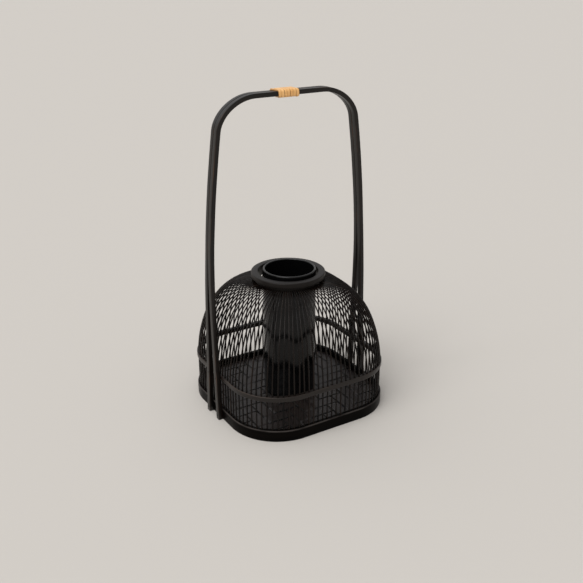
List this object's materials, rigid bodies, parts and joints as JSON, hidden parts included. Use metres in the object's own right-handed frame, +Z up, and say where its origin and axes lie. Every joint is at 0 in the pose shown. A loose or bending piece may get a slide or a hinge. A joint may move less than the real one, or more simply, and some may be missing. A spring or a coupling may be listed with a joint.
{
  "type": "ikebana basket",
  "caption": "Square domed flower basket of thin upright bamboo rods with a round collar, a lift-out water container and a tall arched handle.",
  "frame": {"origin": "centre of the basket's square foot, on the surface that it stands on", "axes": "+Z up, +X along the span of the handle, +Y across it"},
  "size_m": [0.1908, 0.18, 0.3392],
  "materials": {
    "lacquered_bamboo": "dark brown-black lacquer on bamboo, satin",
    "floor_bamboo": "dark stained flat bamboo strip, satin",
    "glossy_black": "glossy black",
    "natural_rattan": "natural rattan strip, satin"
  },
  "bodies": {
    "basket": {"base_ring_with_rods": "lacquered_bamboo", "middle_hoop": "lacquered_bamboo", "collar": "lacquered_bamboo", "handle_strip_front": "lacquered_bamboo", "handle_strip_rear": "lacquered_bamboo", "rattan_wrap": "natural_rattan", "hoop_peg_left_front": "lacquered_bamboo", "hoop_peg_left_rear": "lacquered_bamboo", "hoop_peg_right_front": "lacquered_bamboo", "hoop_peg_right_rear": "lacquered_bamboo", "base_peg_left_front": "lacquered_bamboo", "base_peg_left_rear": "lacquered_bamboo", "base_peg_right_front": "lacquered_bamboo", "base_peg_right_rear": "lacquered_bamboo", "floor_strip_along_01": "floor_bamboo", "floor_strip_along_02": "floor_bamboo", "floor_strip_along_03": "floor_bamboo", "floor_strip_along_04": "floor_bamboo", "floor_strip_along_05": "floor_bamboo", "floor_strip_along_06": "floor_bamboo", "floor_strip_along_07": "floor_bamboo", "floor_strip_along_08": "floor_bamboo", "floor_strip_along_09": "floor_bamboo", "floor_strip_along_10": "floor_bamboo", "floor_strip_along_11": "floor_bamboo", "floor_strip_along_12": "floor_bamboo", "floor_strip_across_01": "floor_bamboo", "floor_strip_across_02": "floor_bamboo", "floor_strip_across_03": "floor_bamboo", "floor_strip_across_04": "floor_bamboo", "floor_strip_across_05": "floor_bamboo", "floor_strip_across_06": "floor_bamboo", "floor_strip_across_07": "floor_bamboo", "floor_strip_across_08": "floor_bamboo", "floor_strip_across_09": "floor_bamboo", "floor_strip_across_10": "floor_bamboo", "floor_strip_across_11": "floor_bamboo", "floor_strip_across_12": "floor_bamboo"},
    "container": {"water_container": "glossy_black"}
  },
  "joints": [
    {"name": "container_lift", "type": "slide", "parent": "basket", "child": "container", "axis": [0, 0, 1], "range_m": [0, 0.142]}
  ]
}
